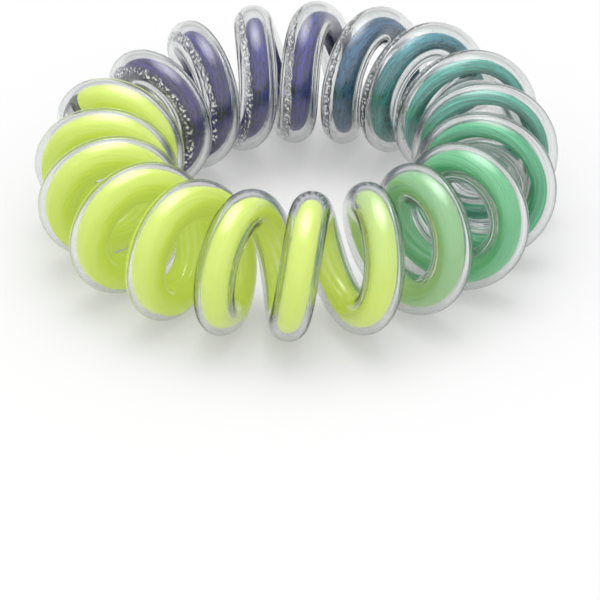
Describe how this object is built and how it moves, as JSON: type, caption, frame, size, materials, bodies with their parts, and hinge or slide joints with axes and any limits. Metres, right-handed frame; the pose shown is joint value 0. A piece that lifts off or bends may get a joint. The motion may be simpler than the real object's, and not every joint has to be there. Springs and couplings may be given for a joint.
{
  "type": "spiral hair tie",
  "caption": "Clear springy tube coiled into a closed ring with a shaded dyed yarn inside, stretched round hair to hold a ponytail.",
  "frame": {"origin": "bottom centre of the ring lying flat: X and Y at the middle of the outline, Z at the surface it rests on", "axes": "+Z along the ring's axis, up; the tube's two ends meet on the -X side a little towards +Y"},
  "size_m": [0.0394, 0.039, 0.0112],
  "materials": {
    "clear_tpu": "clear polished thermoplastic polyurethane tube",
    "dyed_yarn": "space-dyed filament yarn, shading from lime through green and blue to purple",
    "clear_plug": "clear moulded plug with a few small bubbles"
  },
  "bodies": {
    "root": {"clear_tube": "clear_tpu", "yarn_core": "dyed_yarn", "joint_plug": "clear_plug"}
  },
  "joints": []
}
